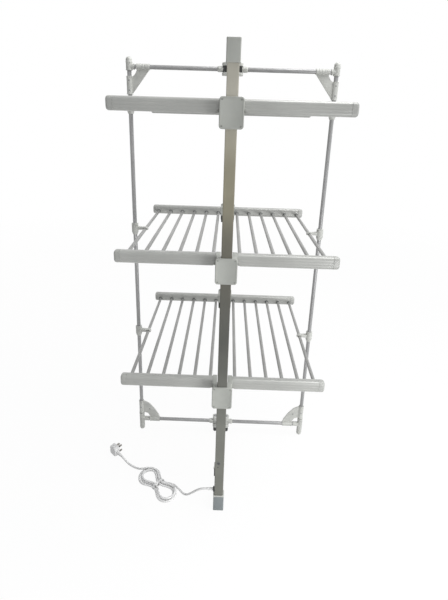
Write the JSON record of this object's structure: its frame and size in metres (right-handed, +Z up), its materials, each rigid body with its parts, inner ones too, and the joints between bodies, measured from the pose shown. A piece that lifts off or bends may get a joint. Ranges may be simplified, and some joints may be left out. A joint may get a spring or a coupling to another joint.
{
  "type": "heated clothes airer",
  "caption": "Free-standing three-tier electric clothes airer with folding rod shelves, swinging tube side frames, a switch and a mains lead with plug.",
  "frame": {"origin": "on the floor, in the middle of the airer without its mains lead", "axes": "+Z up; X along the headers, -X the side of the switch and the lead; -Y the front post with the electrics, +Y the rear post"},
  "size_m": [0.7828, 0.758, 1.461],
  "materials": {
    "post": "silver-grey anodised, satin",
    "header": "silver-grey painted extrusion, satin",
    "rod": "drawn tube, satin",
    "tube": "silver powder coat on round steel tube",
    "fitting": "pale grey moulded plastic",
    "cap": "mid grey moulded plastic",
    "black": "black moulded plastic",
    "cord": "white flexible PVC"
  },
  "bodies": {
    "frame": {"front_post": "post", "front_post_cap": "cap", "front_foot": "cap", "front_bracket_low": "cap", "front_bracket_mid": "cap", "front_bracket_top": "cap", "rear_post": "post", "rear_post_cap": "cap", "rear_foot": "cap", "rear_bracket_low": "cap", "rear_bracket_mid": "cap", "rear_bracket_top": "cap", "beam_low": "post", "beam_high": "post", "hub_low": "fitting", "hub_high": "fitting", "cord_gland": "black", "cord_lead": "cord", "cord_hank": "cord", "cord_tail": "cord", "plug": "cord"},
    "switch_rocker": {"switch_rocker": "black"},
    "left_side_frame": {"left_upright": "tube", "left_rail_low": "tube", "left_rail_high": "tube", "left_tee_low": "fitting", "left_tee_high": "fitting", "left_gusset_low": "fitting", "left_gusset_high": "fitting", "left_hook_low": "fitting", "left_hook_mid": "fitting", "left_hook_top": "fitting"},
    "left_wing_low": {"left_front_header_low": "header", "left_rear_header_low": "header", "left_rods_low": "rod"},
    "left_wing_mid": {"left_front_header_mid": "header", "left_rear_header_mid": "header", "left_rods_mid": "rod"},
    "left_wing_top": {"left_front_header_top": "header", "left_rear_header_top": "header", "left_rods_top": "rod"},
    "right_side_frame": {"right_upright": "tube", "right_rail_low": "tube", "right_rail_high": "tube", "right_tee_low": "fitting", "right_tee_high": "fitting", "right_gusset_low": "fitting", "right_gusset_high": "fitting", "right_hook_low": "fitting", "right_hook_mid": "fitting", "right_hook_top": "fitting"},
    "right_wing_low": {"right_front_header_low": "header", "right_rear_header_low": "header", "right_rods_low": "rod"},
    "right_wing_mid": {"right_front_header_mid": "header", "right_rear_header_mid": "header", "right_rods_mid": "rod"},
    "right_wing_top": {"right_front_header_top": "header", "right_rear_header_top": "header", "right_rods_top": "rod"}
  },
  "joints": [
    {"name": "switch_tilt", "type": "hinge", "parent": "frame", "child": "switch_rocker", "pos_m": [-0.0125, -0.365, 0.163], "axis": [0, 1, 0], "range_deg": [0, 14]},
    {"name": "left_side_frame_swing", "type": "hinge", "parent": "frame", "child": "left_side_frame", "pos_m": [-0.024, 0, 0.05], "axis": [0, 0, -1], "range_deg": [0, 75]},
    {"name": "left_wing_low_fold", "type": "hinge", "parent": "frame", "child": "left_wing_low", "pos_m": [-0.0413, 0, 0.4665], "axis": [0, -1, 0], "range_deg": [0, 88]},
    {"name": "left_wing_mid_fold", "type": "hinge", "parent": "frame", "child": "left_wing_mid", "pos_m": [-0.0413, 0, 0.8835], "axis": [0, -1, 0], "range_deg": [0, 88]},
    {"name": "left_wing_top_fold", "type": "hinge", "parent": "frame", "child": "left_wing_top", "pos_m": [-0.0413, 0, 1.3005], "axis": [0, -1, 0], "range_deg": [0, 88]},
    {"name": "right_side_frame_swing", "type": "hinge", "parent": "frame", "child": "right_side_frame", "pos_m": [0.024, 0, 0.05], "axis": [0, 0, -1], "range_deg": [0, 75]},
    {"name": "right_wing_low_fold", "type": "hinge", "parent": "frame", "child": "right_wing_low", "pos_m": [0.0413, 0, 0.4665], "axis": [0, 1, 0], "range_deg": [0, 88]},
    {"name": "right_wing_mid_fold", "type": "hinge", "parent": "frame", "child": "right_wing_mid", "pos_m": [0.0413, 0, 0.8835], "axis": [0, 1, 0], "range_deg": [0, 88]},
    {"name": "right_wing_top_fold", "type": "hinge", "parent": "frame", "child": "right_wing_top", "pos_m": [0.0413, 0, 1.3005], "axis": [0, 1, 0], "range_deg": [0, 88]}
  ],
  "couplings": [
    {"joint": "left_wing_low_fold", "follows": "left_side_frame_swing", "ratio": 1.17},
    {"joint": "left_wing_mid_fold", "follows": "left_side_frame_swing", "ratio": 1.17},
    {"joint": "left_wing_top_fold", "follows": "left_side_frame_swing", "ratio": 1.17},
    {"joint": "right_wing_low_fold", "follows": "right_side_frame_swing", "ratio": 1.17},
    {"joint": "right_wing_mid_fold", "follows": "right_side_frame_swing", "ratio": 1.17},
    {"joint": "right_wing_top_fold", "follows": "right_side_frame_swing", "ratio": 1.17}
  ]
}
